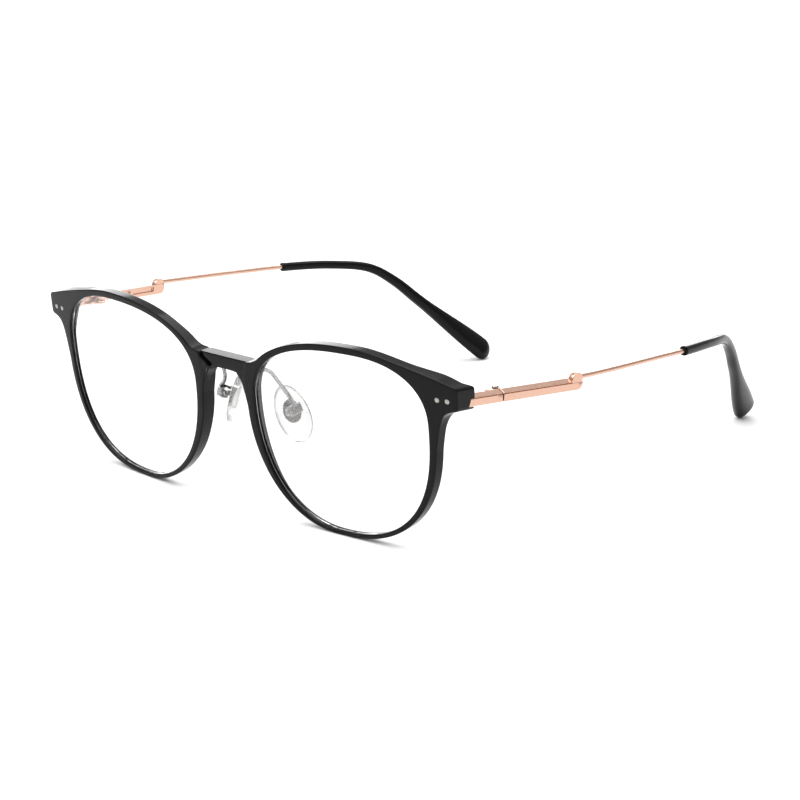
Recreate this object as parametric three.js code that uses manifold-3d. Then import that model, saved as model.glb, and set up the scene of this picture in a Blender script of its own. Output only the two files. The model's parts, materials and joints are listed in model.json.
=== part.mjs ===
// Full-rim eyeglasses: a black plastic front, rose-gold metal temples with wire shanks,
// black sleeved tips and two rocking nose pads on silver arms.
// Millimetres, +Z up. The front faces -Y, so the wearer's left side is +X.
import * as THREE from 'three';
import { mergeVertices } from 'three/addons/utils/BufferGeometryUtils.js';
import Module from 'manifold-3d';

const wasm = await Module();
wasm.setup();

// ---------------------------------------------------------------- driving dimensions
const GAP = 0.3;                       // clearance left around every seated piece

// Lens opening of the wearer's left rim, in the plane of the front (z = 0 at mid hinge level).
const OPENING = { nasal: 10.0, temporal: 60.6, top: 17.6, bottom: -26.0 };
const OPENING_PEAKS = { nasalZ: 1.8, temporalZ: 3.2, topX: 39.8, bottomX: 33.8 };
const OPENING_SQUARENESS = { topTemporal: 2.37, topNasal: 2.43, bottomNasal: 2.17, bottomTemporal: 2.52 };
const RIM_WIDTH = { nasal: 2.4, temporal: 1.9, top: 1.7, bottom: 1.1, between: 1.3 };
const FACE_CURVE = 0.00123;            // the front bows back by FACE_CURVE * x^2
const RIM_DEPTH = 2.8;
const NOSE_DEPTH = 3.6;                // the rims are thicker beside the nose
const BRIDGE_DEPTH = 4.3;              // and thickest where the bridge runs out of them
const BRIDGE_SET_BACK = 1.0;
const BRIDGE_TOP = 10.5;
const BRIDGE_ARCH = 7.35;

const END_X = 68.8;                    // outer side of the end piece
const END_TOP = 13.8;
const END_LOW = 8.5;
const END_DEPTH = 6.0;
const RIVET_X = [63.5, 66.1];
const RIVET_Z = 10.65;
const RIVET_RADIUS = 0.65;

const LENS_THICKNESS = 1.5;
const LENS_DOME = 1.6;                 // how far the middle of the lens stands ahead of its edge
const GROOVE_Y = 1.35;                 // lens groove behind the front face of the rim
const GROOVE_DEPTH = 0.65;
const GROOVE_HALF_WIDTH = 0.7;

const HINGE = new THREE.Vector3(66.65, 20.55, 8.2);   // on the pin, at mid height of the temple bar
const SPLAY = THREE.MathUtils.degToRad(5.7);         // the bars run outward to the rear
const SLOPE = THREE.MathUtils.degToRad(9.6);         // and downward

const BAR_OUTER = 2.9;                 // outer side of the bar from the pin
const BAR_INNER = 1.2;
const BAR_LOW = -1.5;
const BAR_EDGE = 0.35;                 // top of the flat outer side, where the bevel starts
const BAR_TOP = 1.15;
const BAR_LENGTH = 25.2;
const LUG_LENGTH = 10.4;
const PLATE_CENTRE = [64.4, 9.35, 10.3];
const PLATE_SIZE = [6.6, 1.0, 3.2];
const PLATE_TURN = THREE.MathUtils.degToRad(11);

const BARREL_RADIUS = 1.2;
const PIN_RADIUS = 0.42;
const BARREL_TOP = 1.2;
const KNUCKLE = 0.7;                   // height of each of the three hinge knuckles
const WEB_REACH = 3.2;                 // how far a knuckle's web runs along its bar
const HEAD_RADIUS = 0.85;
const HEAD_RISE = 0.45;

const WIRE_RADIUS = 0.58;
const PADDLE_END = [-33.3, 128.4, -27.3];    // the far end of a tip, from the pin

const PAD_PIVOT = new THREE.Vector3(12.1, 11.4, -3.6);
const PAD_SPLAY = THREE.MathUtils.degToRad(27);
const PAD_LEAN = THREE.MathUtils.degToRad(20);
const PAD_RAKE = THREE.MathUtils.degToRad(14);
const PAD_HALF = [4.0, 7.2];           // half width and half height of a nose pad
const PAD_THICKNESS = 2.2;
const ARM_RADIUS = 0.5;
const ARM_ROOT = [10.2, 2.0, 8.0];     // where the arm is let into the back of the rim

const plastic = new THREE.MeshStandardMaterial({ color: 0x141416, roughness: 0.25, metalness: 0 });
const roseGold = new THREE.MeshStandardMaterial({ color: 0xe2b195, roughness: 0.2, metalness: 1 });
const silver = new THREE.MeshStandardMaterial({ color: 0xc8c8c6, roughness: 0.25, metalness: 1 });
const clearLens = new THREE.MeshStandardMaterial({ color: 0xeaf2f2, roughness: 0.02, metalness: 0 });
const silicone = new THREE.MeshStandardMaterial({ color: 0xdfe2df, roughness: 0.35, metalness: 0 });

// ---------------------------------------------------------------- solids
function toSolid(geometry) {
  const bare = geometry.clone();
  bare.deleteAttribute('normal');
  bare.deleteAttribute('uv');
  const merged = mergeVertices(bare, 1e-4);
  const vertProperties = new Float32Array(merged.attributes.position.array);
  const triVerts = new Uint32Array(merged.index.array);
  return new wasm.Manifold(new wasm.Mesh({ numProp: 3, vertProperties, triVerts }));
}

function toGeometry(solid) {
  const mesh = solid.getMesh();
  const geometry = new THREE.BufferGeometry();
  geometry.setAttribute('position', new THREE.BufferAttribute(mesh.vertProperties, 3));
  geometry.setIndex(new THREE.BufferAttribute(mesh.triVerts, 1));
  return geometry;
}

function join(...geometries) {
  return toGeometry(geometries.map(toSolid).reduce((sum, solid) => sum.add(solid)));
}

function cut(body, ...tools) {
  return toGeometry(tools.map(toSolid).reduce((rest, tool) => rest.subtract(tool), toSolid(body)));
}

function mirrored(geometry) {
  const copy = geometry.index ? geometry.toNonIndexed() : geometry.clone();
  copy.scale(-1, 1, 1);
  const points = copy.attributes.position;
  for (let i = 0; i < points.count; i += 3) {
    const first = new THREE.Vector3().fromBufferAttribute(points, i);
    const second = new THREE.Vector3().fromBufferAttribute(points, i + 1);
    points.setXYZ(i, second.x, second.y, second.z);
    points.setXYZ(i + 1, first.x, first.y, first.z);
  }
  return copy;
}

function box(xs, ys, zs) {
  const solid = new THREE.BoxGeometry(xs[1] - xs[0], ys[1] - ys[0], zs[1] - zs[0]);
  return solid.translate((xs[0] + xs[1]) / 2, (ys[0] + ys[1]) / 2, (zs[0] + zs[1]) / 2);
}

function upright(radius, low, high, sides = 20) {
  const solid = new THREE.CylinderGeometry(radius, radius, high - low, sides);
  return solid.rotateX(Math.PI / 2).translate(0, 0, (low + high) / 2);
}

function lengthways(radius, start, end, sides = 16) {
  return new THREE.CylinderGeometry(radius, radius, end - start, sides).translate(0, (start + end) / 2, 0);
}

// A flat outline in x and z, made solid from y = start to y = end.
function slab(outline, start, end) {
  const shape = new THREE.Shape(outline.map(([x, z]) => new THREE.Vector2(x, z)));
  const solid = new THREE.ExtrudeGeometry(shape, { depth: end - start, bevelEnabled: false, steps: 1 });
  return solid.rotateX(Math.PI / 2).translate(0, end, 0);
}

// A skin over rings of points, closed to the middle of the first ring and of the last one.
function loft(rings) {
  const count = rings[0].length;
  const middle = (ring) => ring.reduce((sum, p) => sum.add(p), new THREE.Vector3()).divideScalar(count);
  const points = [...rings.flat(), middle(rings[0]), middle(rings.at(-1))];
  const triangles = [];
  for (let i = 0; i < count; i += 1) {
    const next = (i + 1) % count;
    for (let ring = 0; ring + 1 < rings.length; ring += 1) {
      const here = ring * count;
      const there = here + count;
      triangles.push(here + i, here + next, there + next, here + i, there + next, there + i);
    }
    const last = (rings.length - 1) * count;
    triangles.push(points.length - 2, next, i, points.length - 1, last + i, last + next);
  }
  const geometry = new THREE.BufferGeometry().setFromPoints(points);
  geometry.setIndex(enclosed(points, triangles) > 0 ? triangles : triangles.reverse());
  return geometry;
}

// Six times the volume inside a skin of triangles, negative when they face inward.
function enclosed(points, triangles) {
  let sum = 0;
  for (let i = 0; i < triangles.length; i += 3) {
    const [a, b, c] = triangles.slice(i, i + 3).map((index) => points[index]);
    sum += a.dot(new THREE.Vector3().crossVectors(b, c));
  }
  return sum;
}

function sweep(points, radius, steps, sides) {
  const places = points.map((p) => new THREE.Vector3(...p));
  const curve = new THREE.CatmullRomCurve3(places, false, 'centripetal');
  const section = new THREE.Shape();
  for (let i = 0; i < sides; i += 1) {
    const angle = (2 * Math.PI * i) / sides;
    const place = [radius * Math.cos(angle), radius * Math.sin(angle)];
    if (i === 0) section.moveTo(...place);
    else section.lineTo(...place);
  }
  return new THREE.ExtrudeGeometry(section, { steps, extrudePath: curve, bevelEnabled: false });
}

function smooth(value, low, high) {
  return THREE.MathUtils.smoothstep(value, low, high);
}

// ---------------------------------------------------------------- outlines of the front
const RIM_POINTS = 60;

// Four quarter superellipses that meet at the widest points of the opening.
function openingPoint(angle) {
  const { nasal, temporal, top, bottom } = OPENING;
  const { nasalZ, temporalZ, topX, bottomX } = OPENING_PEAKS;
  const c = Math.cos(angle);
  const s = Math.sin(angle);
  const outward = c >= 0;
  const upward = s >= 0;
  const centreX = upward ? topX : bottomX;
  const centreZ = outward ? temporalZ : nasalZ;
  const across = outward ? temporal - centreX : centreX - nasal;
  const height = upward ? top - centreZ : centreZ - bottom;
  const name = (upward ? 'top' : 'bottom') + (outward ? 'Temporal' : 'Nasal');
  const power = 2 / OPENING_SQUARENESS[name];
  const x = centreX + Math.sign(c) * across * Math.abs(c) ** power;
  const z = centreZ + Math.sign(s) * height * Math.abs(s) ** power;
  return new THREE.Vector2(x, z);
}

// The opening's outline moved outward by a distance that may change around the rim.
function rimLoop(distance) {
  const loop = [];
  for (let i = 0; i < RIM_POINTS; i += 1) {
    const angle = (2 * Math.PI * (i + 0.5)) / RIM_POINTS;
    const point = openingPoint(angle);
    const along = openingPoint(angle + 0.01).sub(openingPoint(angle - 0.01)).normalize();
    const offset = distance(angle);
    loop.push([point.x + along.y * offset, point.y - along.x * offset]);
  }
  return loop;
}

function rimWidth(angle) {
  const across = Math.cos(angle) ** 2;
  const upright = Math.sin(angle) ** 2;
  const side = Math.cos(angle) > 0 ? RIM_WIDTH.temporal : RIM_WIDTH.nasal;
  const level = Math.sin(angle) > 0 ? RIM_WIDTH.top : RIM_WIDTH.bottom;
  return side * across ** 2 + level * upright ** 2 + RIM_WIDTH.between * 2 * across * upright;
}

function curveThrough(points, count) {
  const curve = new THREE.SplineCurve(points.map((p) => new THREE.Vector2(...p)));
  return curve.getPoints(count).map((p) => [p.x, p.y]);
}

// The end piece: its top runs out of the rim's crown, its underside sweeps back into the rim.
function endPieceOutline() {
  const crown = [[40, 19.3], [46.5, 18.85], [53, 17.65], [60.5, 15.95], [END_X, END_TOP]];
  const top = curveThrough(crown, 16);
  const under = curveThrough([
    [END_X - 0.2, END_LOW], [67, 8.2], [65.3, 7.45], [64.1, 5.7], [63.2, 2.4], [62.5, -1.2], [62.0, -4],
  ], 18);
  return [...top, ...under, [58, -4], [58, 4], [48, 13.5], [40, 17.5]];
}

// One half of the bridge, run a little past the middle so that the two halves join.
function bridgeOutline() {
  const past = -0.5;
  const underside = [[7.6, 2.8], [6.8, 4.2], [6, 5.7], [4.8, 6.8], [3, 7.25], [0, BRIDGE_ARCH]];
  const arch = curveThrough(underside, 14);
  return [[past, BRIDGE_TOP], [9, BRIDGE_TOP], [9.8, 9], [9.2, 6], [8.6, 3], ...arch, [past, BRIDGE_ARCH]];
}

// The root of the bridge: the rim's side wall flares toward the nose and up to the bridge's top.
function rootOutline() {
  const wall = curveThrough([
    [7.9, 10.7], [7.3, 9], [6.7, 7.2], [6.6, 5.6], [6.8, 3.9],
    [7.4, 0.9], [8.3, -3], [9.4, -7.2], [10.6, -11],
  ], 20);
  return [...wall, [11.4, -10.5], [10.4, -3], [10.3, 3], [11, 8], [13, 11.5], [12.6, 12.2], [9.9, 10.95]];
}

// A lip on the front of the root that runs out along the lower edge of the bridge.
function lipOutline() {
  const upper = curveThrough([[7.4, 9.2], [6.6, 8.8], [5.3, 8.5], [3.8, 8.3]], 6);
  const lower = curveThrough([[3.7, 7.95], [4.5, 7.45], [5.3, 6.85], [6.1, 5.9], [6.6, 4.6], [7, 2.8]], 8);
  return [...upper, ...lower, [8.2, 3], [8.2, 9]];
}

// ---------------------------------------------------------------- the front
const END_SWELL = 1.8;                 // thickening of the end piece toward its outer wing

function depthAt(x, z) {
  const reach = Math.abs(x);
  const nose = (NOSE_DEPTH - RIM_DEPTH) * (1 - smooth(reach, 9, 18));
  const bridge = (BRIDGE_DEPTH - NOSE_DEPTH) * (1 - smooth(reach, 6, 10));
  const swell = END_SWELL * smooth(reach, 54, 67) * smooth(z, 3, 10);
  const wing = (END_DEPTH - RIM_DEPTH - END_SWELL) * smooth(reach, 66.4, END_X);
  return RIM_DEPTH + nose + bridge + swell + wing;
}

function faceY(x) {
  return FACE_CURVE * x * x;
}

// Bends a flat front, one unit deep, to the face curve and to its real depth at each place.
function wrapFront(geometry) {
  const points = geometry.attributes.position;
  for (let i = 0; i < points.count; i += 1) {
    const x = points.getX(i);
    const z = points.getZ(i);
    const behind = points.getY(i) * depthAt(x, z);
    const drop = behind * Math.tan(SLOPE) * smooth(Math.abs(x), 62, END_X);
    points.setXYZ(i, x, faceY(x) + behind, z - drop);
  }
  return geometry;
}

function rimRing(offset, y, scale = 1) {
  const middle = new THREE.Vector2(35.3, -4.2);
  return rimLoop(() => offset).map(([x, z]) => {
    const place = new THREE.Vector2(x, z).sub(middle).multiplyScalar(scale).add(middle);
    return new THREE.Vector3(place.x, faceY(place.x) + y, place.y);
  });
}

// The V-shaped channel that the lens edge sits in, as a cutter that fills the opening.
function lensGroove() {
  const lip = -0.4;
  return loft([
    rimRing(lip, GROOVE_Y - GROOVE_HALF_WIDTH),
    rimRing(GROOVE_DEPTH, GROOVE_Y),
    rimRing(lip, GROOVE_Y + GROOVE_HALF_WIDTH),
  ]);
}

function rivet(x, radius, start, end) {
  const turn = Math.atan(2 * FACE_CURVE * x);
  return lengthways(radius, start, end, 14).rotateZ(turn).translate(x, faceY(x), RIVET_Z);
}

function makeFront() {
  const rim = slab(rimLoop(rimWidth), 0, 1);
  const opening = slab(rimLoop(() => 0), -1, 2);
  const endPiece = slab(endPieceOutline(), 0, 1);
  const root = slab(rootOutline(), 0, 1);
  const lip = slab(lipOutline(), 0, 0.5);
  const bridge = slab(bridgeOutline(), BRIDGE_SET_BACK / BRIDGE_DEPTH, 1);
  const half = cut(join(rim, endPiece, root, lip, bridge), opening);
  const whole = wrapFront(join(half, mirrored(half)));
  const [armX, armY, armZ] = ARM_ROOT;
  const armSocket = lengthways(ARM_RADIUS + GAP, armY - GAP, 12).translate(armX, 0, armZ);
  const rivetHoles = RIVET_X.map((x) => rivet(x, RIVET_RADIUS + GAP, -1, 8));
  const tools = [lensGroove(), armSocket, ...rivetHoles, ...lugBlocks(GAP)];
  return cut(whole, ...tools, ...tools.map(mirrored));
}

// A curved lens with a bevelled edge that reaches into the rim's groove.
function makeLens() {
  const half = LENS_THICKNESS / 2;
  const edge = -0.35;
  const bevel = 0.4;
  const apex = 0.3;
  const face = (y, scale) => rimRing(edge, y - LENS_DOME * (1 - scale * scale), scale);
  return loft([
    face(-half, 0.35),
    face(-half, 0.7),
    face(-half, 1),
    rimRing(edge, -bevel),
    rimRing(apex, 0),
    rimRing(edge, bevel),
    face(half, 1),
    face(half, 0.7),
    face(half, 0.35),
  ]).translate(0, GROOVE_Y, 0);
}

// ---------------------------------------------------------------- hinge: lug, pin and temple
const hingeTurn = new THREE.Matrix4().makeRotationFromEuler(new THREE.Euler(-SLOPE, 0, -SPLAY, 'ZXY'));
const hingePlace = new THREE.Matrix4().setPosition(HINGE).multiply(hingeTurn);

// The bevelled section shared by the lug and the temple bar.
function barSlab(start, end, grow = 0) {
  const outline = [
    [BAR_INNER - grow, BAR_LOW - grow],
    [BAR_OUTER + grow, BAR_LOW - grow],
    [BAR_OUTER + grow, BAR_EDGE + grow],
    [BAR_INNER - grow, BAR_TOP + grow],
  ];
  return slab(outline, start - grow, end + grow);
}

// The riveted plate, the foot that joins it to the lug, and the lug itself.
function lugBlocks(grow) {
  const [width, depth, height] = PLATE_SIZE.map((size) => size + 2 * grow);
  const plate = new THREE.BoxGeometry(width, depth, height).rotateZ(PLATE_TURN).translate(...PLATE_CENTRE);
  const foot = box([0.3 - grow, 1.8 + grow], [-11.3 - grow, -8.9 + grow], [BAR_LOW - grow, BAR_TOP + grow]);
  const lug = barSlab(-LUG_LENGTH, -GAP / 2, grow);
  return [plate, foot.applyMatrix4(hingePlace), lug.applyMatrix4(hingePlace)];
}

function knuckle(low, high, side) {
  const ends = side > 0 ? [GAP / 2, WEB_REACH] : [-WEB_REACH, -GAP / 2];
  return join(upright(BARREL_RADIUS, low, high), box([0, BAR_INNER + 0.1], ends, [low, high]));
}

// Room for the other half's knuckles to turn in.
function barrelClearance() {
  return upright(BARREL_RADIUS + GAP, BAR_LOW - 1, BAR_TOP + 1, 24);
}

function pinHole() {
  return upright(PIN_RADIUS + GAP, BAR_LOW - 1, BARREL_TOP + 1, 16);
}

function makeLug() {
  const lower = knuckle(BAR_LOW, BAR_LOW + KNUCKLE, -1);
  const upper = knuckle(BARREL_TOP - KNUCKLE, BARREL_TOP, -1);
  const knuckles = cut(join(lower, upper), pinHole()).applyMatrix4(hingePlace);
  const holes = RIVET_X.map((x) => rivet(x, RIVET_RADIUS + GAP, -1, 8));
  const blocks = cut(join(...lugBlocks(0)), ...holes, barrelClearance().applyMatrix4(hingePlace));
  return join(blocks, knuckles);
}

function makePin() {
  const top = BARREL_TOP + HEAD_RISE;
  const head = upright(HEAD_RADIUS, BARREL_TOP + 0.15, top);
  const shank = upright(PIN_RADIUS, BAR_LOW, BARREL_TOP + 0.2, 12);
  const slot = box([-HEAD_RADIUS, HEAD_RADIUS], [-0.12, 0.12], [top - 0.15, top + 1]);
  return cut(join(head, shank), slot);
}

// Along the temple: through the ear, down the wire shank, over the bend and to the paddle's end.
const templeLine = new THREE.CatmullRomCurve3([
  [2.1, 23.3, 1.4], [2, 27, 1.4], [0.3, 40, 1.5], [-2, 54, 1.6], [-4.5, 68, 1.6], [-9.1, 83, 1.2],
  [-14.5, 94.3, -0.3], [-18.1, 101.2, -4.3], [-22, 108.2, -10.3], [-31.5, 124.9, -24.4], PADDLE_END,
].map((point) => new THREE.Vector3(...point)), false, 'centripetal');
const LINE_LENGTH = templeLine.getLength();
const UP = new THREE.Vector3(0, 0, 1);
const SLEEVE_FROM = 44.5;              // along the line, where the tip sleeve begins
const CORE_TO = 72;                    // and where the wire ends inside it

function linePoints(from, to, count) {
  const points = [];
  for (let i = 0; i <= count; i += 1) {
    points.push(templeLine.getPointAt((from + ((to - from) * i) / count) / LINE_LENGTH).toArray());
  }
  return points;
}

// The folded ear that stands on the end of the bar and holds the wire.
function makeEar() {
  const front = 21.7;
  const rear = BAR_LENGTH;
  const outline = [
    [front, 0.1], [front + 0.2, 1.3], [front + 0.8, 2.1], [front + 1.6, 2.45], [front + 2.4, 2.4],
    [rear - 0.4, 2], [rear - 0.05, 1.3], [rear, 0.1],
  ];
  return sideways(outline, BAR_INNER + 0.1, BAR_OUTER - 0.1);
}

// An outline in y and z made solid from x = start to x = end.
function sideways(outline, start, end) {
  const shape = new THREE.Shape(outline.map(([y, z]) => new THREE.Vector2(y, z)));
  const solid = new THREE.ExtrudeGeometry(shape, { depth: end - start, bevelEnabled: false, steps: 1 });
  return solid.rotateX(Math.PI / 2).rotateZ(Math.PI / 2).translate(start, 0, 0);
}

// What is cut away to round the bar's lower rear corner.
function cornerCut(radius) {
  const middle = [BAR_LENGTH - radius, BAR_LOW + radius];
  const outline = [[BAR_LENGTH + 1, BAR_LOW - 1], [BAR_LENGTH + 1, middle[1]]];
  for (let i = 0; i <= 6; i += 1) {
    const angle = (-Math.PI / 2) * (i / 6);
    outline.push([middle[0] + radius * Math.cos(angle), middle[1] + radius * Math.sin(angle)]);
  }
  outline.push([middle[0], BAR_LOW - 1]);
  return sideways(outline, 0, 6);
}

function makeTemple() {
  const middle = BARREL_TOP - 2 * KNUCKLE - GAP;
  const hinge = cut(knuckle(middle, middle + KNUCKLE, 1), pinHole());
  const bar = cut(barSlab(GAP / 2, BAR_LENGTH), cornerCut(1.6), barrelClearance());
  const wire = sweep(linePoints(0, CORE_TO, 30), WIRE_RADIUS, 30, 8);
  const channels = [[4.5, 12], [13, 21]].map((run) => box([0, BAR_INNER + 0.5], run, [-0.55, 0.55]));
  return join(cut(bar, ...channels), hinge, makeEar(), wire);
}

const TIP_ROUNDING = 3.2;              // length over which the end of a tip closes

// Half thickness and half height of the tip sleeve at a distance along it, rounded at the end.
function tipSize(distance, length) {
  const share = distance / length;
  const closing = Math.sqrt(Math.max(0, 1 - Math.max(0, (distance - length) / TIP_ROUNDING + 1) ** 2));
  const thickness = 1.2 + 0.6 * smooth(share, 0.25, 0.9);
  const height = 1.2 + 0.35 * smooth(share, 0.25, 0.65) + 1.8 * smooth(share, 0.62, 0.96);
  return [thickness * closing, height * closing];
}

// The paddle turns its lower edge in toward the head.
const PADDLE_TWIST = THREE.MathUtils.degToRad(32);

function makeTip() {
  const length = LINE_LENGTH - SLEEVE_FROM;
  const steps = 30;
  const sides = 12;
  const rings = [];
  for (let step = 0; step < steps; step += 1) {
    const distance = length * (1 - (1 - step / steps) ** 1.25);
    const place = (SLEEVE_FROM + distance) / LINE_LENGTH;
    const point = templeLine.getPointAt(place);
    const along = templeLine.getTangentAt(place);
    const twist = PADDLE_TWIST * smooth(distance / length, 0.35, 0.9);
    const across = new THREE.Vector3().crossVectors(along, UP).normalize().applyAxisAngle(along, twist);
    const over = new THREE.Vector3().crossVectors(across, along);
    const [thickness, height] = tipSize(distance, length);
    rings.push(Array.from({ length: sides }, (_, i) => {
      const angle = (2 * Math.PI * i) / sides;
      const [c, s] = [Math.cos(angle), Math.sin(angle)];
      const wide = thickness * Math.sign(c) * Math.abs(c) ** 0.8;
      const high = height * Math.sign(s) * Math.abs(s) ** 0.8;
      return point.clone().addScaledVector(across, wide).addScaledVector(over, high);
    }));
  }
  const bore = sweep(linePoints(SLEEVE_FROM - 2, CORE_TO + 0.5, 20), WIRE_RADIUS + 0.27, 20, 10);
  return cut(loft(rings), bore);
}

// ---------------------------------------------------------------- nose pads
const padAngles = new THREE.Euler(PAD_RAKE, -PAD_LEAN, -PAD_SPLAY, 'ZYX');
const padTurn = new THREE.Matrix4().makeRotationFromEuler(padAngles);
const padPlace = new THREE.Matrix4().setPosition(PAD_PIVOT).multiply(padTurn);
const LUG_HALF = 0.5;                  // half width of the insert's lug between the box cheeks
const CHEEK = 0.7;
const PAD_BACK = -2.1;                 // the pad's back face, on the nose side of the pivot
const PAD_SCREW_RADIUS = 0.35;
const PAD_MIDDLE = -0.95;              // the pad hangs a little below its pivot
const INSERT_MIDDLE = -0.25;
const INSERT_HALF = [2.05, 2.9];
const INSERT_THICKNESS = 0.45;

function crossHole() {
  return lengthways(PAD_SCREW_RADIUS + GAP, -4, 4, 12);
}

// The bent wire arm with the small box that the pad is screwed into.
function makePadArm() {
  const [x, y, z] = ARM_ROOT;
  const end = new THREE.Vector3(1.6, 0, 0.5).applyMatrix4(padPlace).toArray();
  const route = [[x, y, z], [x, y + 2.6, z], [9.5, 7.4, 6.3], [9.9, 9.5, 3], [11.4, 10.8, -0.4], end];
  const wire = sweep(route, ARM_RADIUS, 22, 8);
  const outside = LUG_HALF + GAP + CHEEK;
  const body = box([-1.1, 1.8], [-outside, outside], [-1.2, 1.2]);
  const slot = box([-3, 1.25], [-LUG_HALF - GAP, LUG_HALF + GAP], [-3, 3]);
  return join(wire, cut(body, slot, crossHole()).applyMatrix4(padPlace));
}

function makePadScrew() {
  const outside = LUG_HALF + GAP + CHEEK;
  const head = lengthways(0.9, -outside - 0.7, -outside - 0.2);
  const shank = lengthways(PAD_SCREW_RADIUS, -outside - 0.3, outside, 10);
  const slot = box([-2, 2], [-outside - 1, -outside - 0.5], [-0.15, 0.15]);
  return cut(join(head, shank), slot);
}

// An oval ring of points at one depth, around a middle that stands above or below the pivot.
function padRing(x, middle, halfWidth, halfHeight) {
  const count = 32;
  const ring = [];
  for (let i = 0; i < count; i += 1) {
    const angle = (2 * Math.PI * i) / count;
    ring.push(new THREE.Vector3(x, halfWidth * Math.cos(angle), middle + halfHeight * Math.sin(angle)));
  }
  return ring;
}

function makePadInsert() {
  const plate = loft([
    padRing(PAD_BACK - INSERT_THICKNESS, INSERT_MIDDLE, ...INSERT_HALF),
    padRing(PAD_BACK, INSERT_MIDDLE, ...INSERT_HALF),
  ]);
  const neck = box([PAD_BACK - 0.2, 0], [-LUG_HALF, LUG_HALF], [-0.8, 0.8]);
  const eye = lengthways(0.9, -LUG_HALF, LUG_HALF);
  return cut(join(plate, neck, eye), crossHole());
}

function makePad() {
  const layers = [[0, 0.9], [0.35, 1], [1.1, 0.97], [1.8, 0.8], [PAD_THICKNESS, 0.45]];
  const rings = layers.map(([depth, scale]) => {
    const half = PAD_HALF.map((size) => size * scale);
    return padRing(PAD_BACK - depth, PAD_MIDDLE, ...half);
  });
  const room = INSERT_HALF.map((size) => size + GAP);
  const recess = loft([
    padRing(PAD_BACK - INSERT_THICKNESS - GAP, INSERT_MIDDLE, ...room),
    padRing(PAD_BACK + 1, INSERT_MIDDLE, ...room),
  ]);
  return cut(loft(rings), recess);
}

// ---------------------------------------------------------------- assembly
function addMesh(parent, name, geometry, material) {
  const flat = geometry.index ? geometry.toNonIndexed() : geometry;
  flat.computeVertexNormals();
  const mesh = new THREE.Mesh(flat, material);
  mesh.name = name;
  parent.add(mesh);
  return mesh;
}

function addPair(parents, name, geometry, material) {
  addMesh(parents.left, `${name}_left`, geometry, material);
  addMesh(parents.right, `${name}_right`, mirrored(geometry), material);
}

// Two groups, the second one the first one's mirror image across x = 0.
function sidePair(parent, place, turn, order) {
  const left = new THREE.Group();
  const right = new THREE.Group();
  left.position.copy(place);
  left.rotation.set(turn[0], turn[1], turn[2], order);
  right.position.set(-place.x, place.y, place.z);
  right.rotation.set(turn[0], -turn[1], -turn[2], order);
  parent.add(left, right);
  return { left, right };
}

function lowest(object) {
  return new THREE.Box3().setFromObject(object, true).min.z;
}

const glasses = new THREE.Group();
const body = new THREE.Group();        // everything, in the upright frame of the front
glasses.add(body);
const front = { left: body, right: body };
const temples = sidePair(body, HINGE, [-SLOPE, 0, -SPLAY], 'ZXY');
const pads = sidePair(body, PAD_PIVOT, [PAD_RAKE, -PAD_LEAN, -PAD_SPLAY], 'ZYX');

const frontMesh = addMesh(body, 'front_frame', makeFront(), plastic);
addPair(front, 'lens', makeLens(), clearLens);
addPair(front, 'hinge_lug', makeLug(), roseGold);
RIVET_X.forEach((x, i) => {
  const name = ['rivet_inner', 'rivet_outer'][i];
  addPair(front, name, rivet(x, RIVET_RADIUS, -0.05, 4.7), silver);
});
addPair(front, 'nose_pad_arm', makePadArm(), silver);
addPair(temples, 'hinge_screw', makePin(), silver);
addPair(temples, 'temple', makeTemple(), roseGold);
addPair(temples, 'temple_tip', makeTip(), plastic);
addPair(pads, 'pad_screw', makePadScrew(), silver);
addPair(pads, 'pad_insert', makePadInsert(), silver);
addPair(pads, 'nose_pad', makePad(), silicone);

// Tilt the whole frame until the rims and the tips rest on one plane, then stand it at the origin.
const tipMesh = temples.left.children.at(-1);
for (let pass = 0; pass < 8; pass += 1) {
  glasses.updateMatrixWorld(true);
  body.rotation.x += (lowest(frontMesh) - lowest(tipMesh)) / PADDLE_END[1];
}
glasses.updateMatrixWorld(true);
const extent = new THREE.Box3().setFromObject(body, true);
body.position.set(0, -(extent.min.y + extent.max.y) / 2, -extent.min.z);

export default glasses;
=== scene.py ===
import json
import math

import bmesh
import bpy
import numpy as np
from mathutils import Matrix, Vector
from mathutils.geometry import delaunay_2d_cdt


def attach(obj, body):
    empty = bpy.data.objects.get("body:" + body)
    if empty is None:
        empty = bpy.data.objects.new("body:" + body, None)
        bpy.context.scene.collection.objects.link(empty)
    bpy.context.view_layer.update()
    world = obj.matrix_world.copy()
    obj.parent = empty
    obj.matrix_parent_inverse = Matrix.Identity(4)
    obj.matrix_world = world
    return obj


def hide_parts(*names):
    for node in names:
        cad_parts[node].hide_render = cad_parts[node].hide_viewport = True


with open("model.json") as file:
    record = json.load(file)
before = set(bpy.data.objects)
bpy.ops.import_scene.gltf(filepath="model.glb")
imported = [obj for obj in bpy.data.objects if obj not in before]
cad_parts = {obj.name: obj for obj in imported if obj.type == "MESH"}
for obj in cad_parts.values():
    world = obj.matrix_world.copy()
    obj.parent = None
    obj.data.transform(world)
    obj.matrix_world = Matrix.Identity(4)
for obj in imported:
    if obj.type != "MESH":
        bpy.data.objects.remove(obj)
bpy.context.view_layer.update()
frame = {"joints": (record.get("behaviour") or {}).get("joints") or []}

MM = 0.001

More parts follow.
